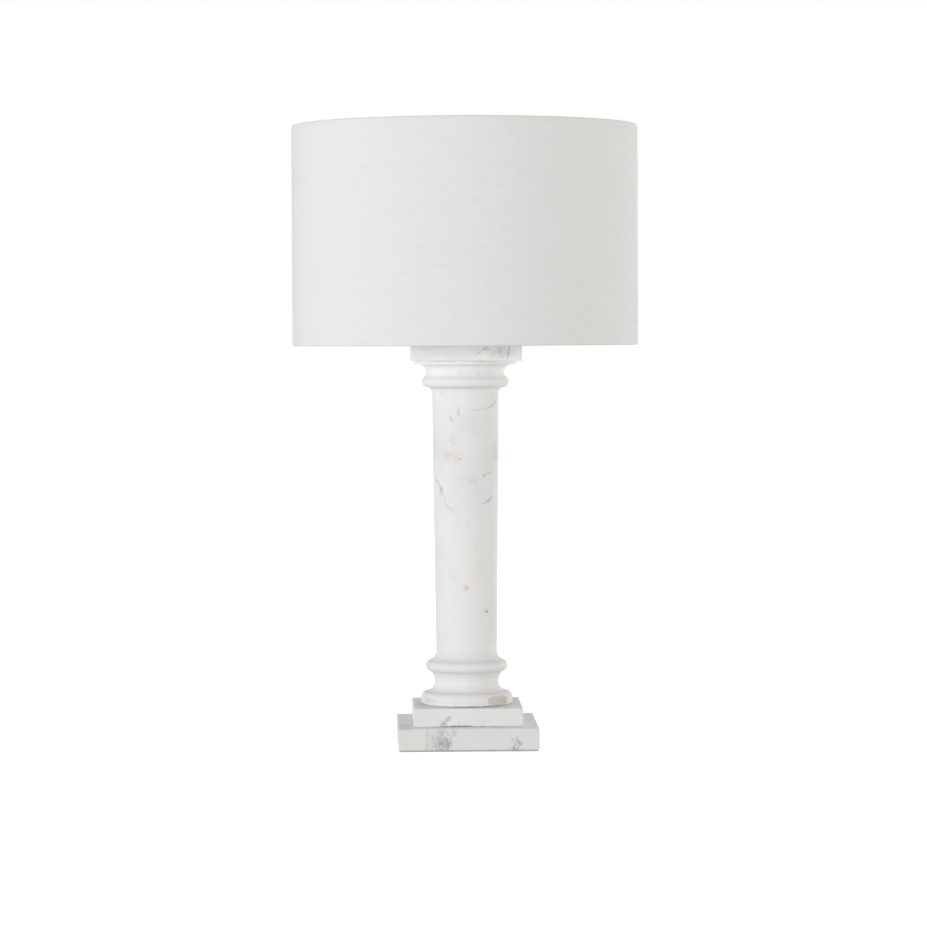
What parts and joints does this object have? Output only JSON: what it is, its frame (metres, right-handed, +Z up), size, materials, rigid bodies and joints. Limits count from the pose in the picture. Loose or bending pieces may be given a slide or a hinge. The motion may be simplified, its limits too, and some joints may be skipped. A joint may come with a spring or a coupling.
{
  "type": "column table lamp",
  "caption": "Table lamp with a turned stone column on square plinths and a straight drum shade carried by a harp.",
  "frame": {"origin": "centre of the underside, on the surface that the lamp stands on", "axes": "+Z up along the column, -Y the front, +X to the right seen from the front; the cord inlet is at +Y"},
  "size_m": [0.4889, 0.489, 0.8763],
  "materials": {
    "felt": "matte",
    "stone": "satin",
    "steel": "satin",
    "rubber": "matte",
    "brass": "satin",
    "nickel": "satin",
    "cardboard": "matte",
    "phenolic": "satin",
    "knob": "gloss",
    "bulb_metal": "satin",
    "bulb_glass": "satin",
    "bulb_collar": "satin",
    "solder": "satin",
    "shade_fabric": "matte",
    "shade_liner": "matte",
    "shade_wire": "satin"
  },
  "bodies": {
    "lamp_stand": {"felt_pad": "felt", "lower_plinth": "stone", "upper_plinth": "stone", "column_base": "stone", "column_shaft": "stone", "capital": "stone", "abacus": "stone", "threaded_pipe": "steel", "bottom_washer": "steel", "bottom_nut": "steel", "cord_bushing": "rubber", "check_ring": "nickel", "lock_nut": "steel", "neck_tube": "nickel", "harp_saddle": "nickel", "harp_frame": "nickel", "harp_stud": "nickel", "socket_cap": "brass", "cap_screw": "steel", "socket_shell": "brass", "socket_liner": "cardboard", "socket_insulator": "phenolic", "terminal_screws": "brass", "screw_shell": "brass", "centre_contact": "brass"},
    "switch": {"switch_stem": "brass", "switch_knob": "knob"},
    "sleeve_left": {"harp_sleeve_left": "nickel"},
    "sleeve_right": {"harp_sleeve_right": "nickel"},
    "bulb_lift": {"bulb_contact": "solder"},
    "bulb": {"bulb_insulator": "phenolic", "bulb_screw_base": "bulb_metal", "bulb_collar": "bulb_collar", "bulb_globe": "bulb_glass"},
    "finial_lift": {"finial_insert": "brass"},
    "finial": {"finial_knob": "nickel"},
    "shade": {"shade_fabric": "shade_fabric", "shade_liner": "shade_liner", "shade_seam_tape": "shade_liner", "shade_top_ring": "shade_wire", "shade_bottom_ring": "shade_wire", "spider_hub": "shade_wire", "spider_arms": "shade_wire"}
  },
  "joints": [
    {"name": "switch_turn", "type": "hinge", "parent": "lamp_stand", "child": "switch", "pos_m": [0, -0.0325, 0.6162], "axis": [0, -1, 0], "continuous": true},
    {"name": "sleeve_left_slide", "type": "slide", "parent": "lamp_stand", "child": "sleeve_left", "axis": [0, 0, 1], "range_m": [0, 0.013]},
    {"name": "sleeve_right_slide", "type": "slide", "parent": "lamp_stand", "child": "sleeve_right", "axis": [0, 0, 1], "range_m": [0, 0.013]},
    {"name": "bulb_rise", "type": "slide", "parent": "lamp_stand", "child": "bulb_lift", "axis": [0, 0, 1], "range_m": [0, 0.01089]},
    {"name": "bulb_turn", "type": "hinge", "parent": "bulb_lift", "child": "bulb", "pos_m": [0, 0, 0.645], "axis": [0, 0, 1], "range_deg": [0, 1080]},
    {"name": "finial_rise", "type": "slide", "parent": "lamp_stand", "child": "finial_lift", "axis": [0, 0, 1], "range_m": [0, 0.008]},
    {"name": "finial_turn", "type": "hinge", "parent": "finial_lift", "child": "finial", "pos_m": [0, 0, 0.86], "axis": [0, 0, 1], "range_deg": [0, 3060]},
    {"name": "shade_turn", "type": "hinge", "parent": "lamp_stand", "child": "shade", "pos_m": [0, 0, 0.84915], "axis": [0, 0, 1], "continuous": true}
  ],
  "couplings": [
    {"joint": "bulb_rise", "follows": "bulb_turn", "m_per_rad": 0.00057757},
    {"joint": "finial_rise", "follows": "finial_turn", "m_per_rad": 0.00014972}
  ]
}
